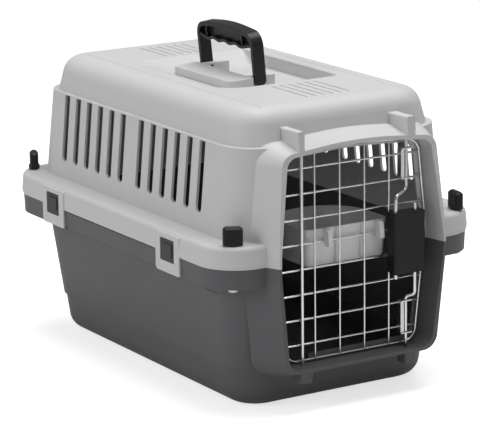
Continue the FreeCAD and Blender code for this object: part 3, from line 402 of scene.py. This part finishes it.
def tube(path, normal, radius, sides=16, end=roundEnd, closed=False):
    # A circle carried along the path. Each ring lies across the path, spanned by the given
    # normal and its cross product with the direction. Near an open end the ring shrinks: the end
    # list gives distance from the tip and share of the radius, both in radii.
    path = np.asarray(path, float)
    if closed:
        heading = np.roll(path, -1, 0) - np.roll(path, 1, 0)
    else:
        heading = np.gradient(path, axis=0)
    heading /= np.linalg.norm(heading, axis=1)[:, None]
    share = np.ones(len(path))
    if not closed:
        cap = np.array(end)
        head = path[0] + heading[0] * cap[:, :1] * radius
        tail = path[-1] - heading[-1] * cap[::-1, :1] * radius
        path = np.concatenate([head, path[1:-1], tail])
        heading = np.concatenate([np.repeat(heading[:1], len(cap), 0), heading[1:-1],
                                  np.repeat(heading[-1:], len(cap), 0)])
        share = np.concatenate([cap[:, 1], share[1:-1], cap[::-1, 1]])
    normal = np.broadcast_to(np.asarray(normal, float), heading.shape) if np.ndim(normal) == 1 \
        else np.asarray(normal, float)
    across = np.cross(heading, normal)
    turn = np.linspace(0, 2 * math.pi, sides, endpoint=False)
    rings = (path[:, None] + radius * share[:, None, None]
             * (np.cos(turn)[None, :, None] * normal[:, None]
                + np.sin(turn)[None, :, None] * across[:, None]))
    verts = rings.reshape(-1, 3)
    faces = gridFaces(len(path), sides, closed)
    if not closed:
        verts = np.concatenate([verts, path[:1], path[-1:]])
        count = len(path) * sides
        last = count - sides
        faces += [(count, (k + 1) % sides, k) for k in range(sides)]
        faces += [(count + 1, last + k, last + (k + 1) % sides) for k in range(sides)]
    return verts, faces


def bentPath(corners, step=0.0012):
    # Straight runs joined by arcs. Each corner is a point and a bend radius; the arc touches both
    # runs at radius times the tangent of half the turn from the corner.
    points = [np.array(corners[0][0], float)]
    for (before, _), (here, bend), (after, _) in zip(corners, corners[1:], corners[2:]):
        here = np.array(here, float)
        back = np.array(before, float) - here
        ahead = np.array(after, float) - here
        back, ahead = back / np.linalg.norm(back), ahead / np.linalg.norm(ahead)
        half = math.acos(float(np.clip(back @ ahead, -1, 1))) / 2
        reach = bend / math.tan(half)
        middle = here + (back + ahead) / np.linalg.norm(back + ahead) * bend / math.sin(half)
        first, last = here + back * reach, here + ahead * reach
        sweep = math.pi - 2 * half
        count = max(5, int(bend * sweep / step))
        share = np.linspace(0, 1, count)[:, None]
        u, v = first - middle, last - middle
        arc = (np.sin((1 - share) * sweep) * u + np.sin(share * sweep) * v) / math.sin(sweep)
        points.append(middle + arc)
    points.append(np.array(corners[-1][0], float))
    return np.concatenate([np.atleast_2d(p) for p in points])


def strands(node, axis, gap):
    # Boxes of a node's separate bars: its points sorted along one axis, cut where they skip.
    co = np.array([v.co for v in frame["nodes"][node].data.vertices])
    co = co[np.argsort(co[:, axis])]
    cuts = np.nonzero(np.diff(co[:, axis]) > gap)[0] + 1
    return [(part.min(0), part.max(0)) for part in np.split(co, cuts)]


def blobs(centres, radii, rows=7, columns=10):
    # Flattened balls: latitude rings of a unit sphere scaled by the radii at each centre.
    tall = np.linspace(-math.pi / 2 + 0.12, math.pi / 2 - 0.12, rows)
    turn = np.linspace(0, 2 * math.pi, columns, endpoint=False)
    unit = np.stack([np.outer(np.cos(tall), np.cos(turn)), np.outer(np.cos(tall), np.sin(turn)),
                     np.outer(np.sin(tall), np.ones(columns))], axis=-1).reshape(-1, 3)
    unit = np.concatenate([unit, [[0, 0, -1], [0, 0, 1]]])
    count = rows * columns
    faces = gridFaces(rows, columns, False)
    faces += [(count, (k + 1) % columns, k) for k in range(columns)]
    faces += [(count + 1, count - columns + k, count - columns + (k + 1) % columns)
              for k in range(columns)]
    return joined([(unit * radii + c, faces) for c in np.asarray(centres, float)])


doorWires = {"weldWide": 1.55 * mm, "weldDeep": 1.05 * mm, "sides": 16,
             # gap that parts two neighbouring bars, and how near a weld sits to the cross bar
             "barGap": 5.0 * mm, "weldShare": 0.55,
             # corners of the outer loop on the latch side: half width, height, bend, in mm
             "loop": [(79.5, 51.5, 14.0), (93.5, 175.0, 120.0), (83.5, 267.0, 16.0),
                      (0.0, 273.0, 500.0)]}


def buildWires(look):
    # Bars with rounded ends along each CAD bar's middle line, the loop as a closed bent path,
    # and a flattened weld where two bars cross.
    crosses = strands("door_cross_wires", 2, look["barGap"])
    uprights = strands("door_upright_wires", 1, look["barGap"])
    pieces = []
    for low, high in crosses:
        middle, radius = (low + high) / 2, (high[2] - low[2]) / 2
        path = [(middle[0], low[1], middle[2]), middle, (middle[0], high[1], middle[2])]
        pieces.append(tube(path, (1, 0, 0), radius, look["sides"]))
    meshFrom("crossWires", *joined(pieces), "wireSteel", "door", ["door_cross_wires"],
             "wire_steel")
    pieces = []
    for low, high in uprights:
        middle, radius = (low + high) / 2, (high[1] - low[1]) / 2
        path = [(middle[0], middle[1], low[2]), middle, (middle[0], middle[1], high[2])]
        pieces.append(tube(path, (1, 0, 0), radius, look["sides"]))
    meshFrom("uprightWires", *joined(pieces), "rodSteel", "door", ["door_upright_wires"],
             "wire_steel")

    low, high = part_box("door_frame_wire")
    radius, plane = (high[0] - low[0]) / 2, (high[0] + low[0]) / 2
    right = [((plane, y * mm, z * mm), bend * mm) for y, z, bend in look["loop"]]
    left = [((p[0], -p[1], p[2]), bend) for p, bend in reversed(right[:-1])]
    ring = right + left
    path = bentPath([ring[-1]] + ring + [ring[0]])[1:-1]
    meshFrom("frameLoop", *tube(path, (1, 0, 0), radius, look["sides"], closed=True), "wireSteel",
             "door", ["door_frame_wire"], "wire_steel")

    spots = [((c[0] + c[1]) / 2, (u[0] + u[1]) / 2) for c in crosses for u in uprights]
    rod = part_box("hinge_rod")
    rodMiddle = np.array((rod[0] + rod[1]) / 2)
    spots += [((c[0] + c[1]) / 2, rodMiddle) for c in crosses]
    share = look["weldShare"]
    centres = [(c[0] * share + u[0] * (1 - share), u[1], c[2]) for c, u in spots]
    wide, deep = look["weldWide"], look["weldDeep"]
    meshFrom("weldSpots", *blobs(centres, np.array([deep, wide, wide])), "wireSteel", "door", [],
             "wire_steel")


buildWires(doorWires)
print("wire door done")


rodLook = {"sides": 20, "upperBend": 5.2 * mm, "lowerBend": 4.0 * mm,
           # heights where each cranked rod leaves its lower run and joins its upper one
           "upperTurns": (212.2 * mm, 216.8 * mm), "lowerTurns": (101.8 * mm, 105.0 * mm),
           "endSlice": 0.5 * mm}


def straightRod(node, look):
    # A straight bar with sheared ends on the CAD rod's middle line.
    low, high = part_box(node)
    middle = np.array((low + high) / 2)
    path = [(middle[0], middle[1], low[2]), middle, (middle[0], middle[1], high[2])]
    return tube(path, (1, 0, 0), (high[0] - low[0]) / 2, look["sides"], shearedEnd)


def crankedRod(node, bend, turns, look):
    # Two upright runs joined by a slanted one, all in one plane; the places of the runs come
    # from the CAD node's points near its lowest and highest ends.
    co = np.array([v.co for v in frame["nodes"][node].data.vertices])
    low, high = co[:, 2].min(), co[:, 2].max()
    foot = co[co[:, 2] < low + look["endSlice"]]
    head = co[co[:, 2] > high - look["endSlice"]]
    start, stop = (foot.min(0) + foot.max(0)) / 2, (head.min(0) + head.max(0)) / 2
    radius = (foot[:, 0].max() - foot[:, 0].min()) / 2
    turnLow, turnHigh = turns
    corners = [((start[0], start[1], low), 0), ((start[0], start[1], turnLow), bend),
               ((stop[0], stop[1], turnHigh), bend), ((stop[0], stop[1], high), 0)]
    flat = np.cross(stop - start, (0, 0, 1))
    flat /= np.linalg.norm(flat)
    return tube(bentPath(corners), flat, radius, look["sides"], shearedEnd)


meshFrom("hingeRod", *straightRod("hinge_rod", rodLook), "rodSteel", "door", ["hinge_rod"],
         "wire_steel")
meshFrom("upperBolt", *crankedRod("upper_bolt_rod", rodLook["upperBend"], rodLook["upperTurns"],
                                   rodLook),
         "rodSteel", "latch_upper", ["upper_bolt_rod"], "rod_steel")
meshFrom("lowerBolt", *crankedRod("lower_bolt_rod", rodLook["lowerBend"], rodLook["lowerTurns"],
                                   rodLook),
         "rodSteel", "latch_lower", ["lower_bolt_rod"], "rod_steel")
print("rods done")


print("pieces done")
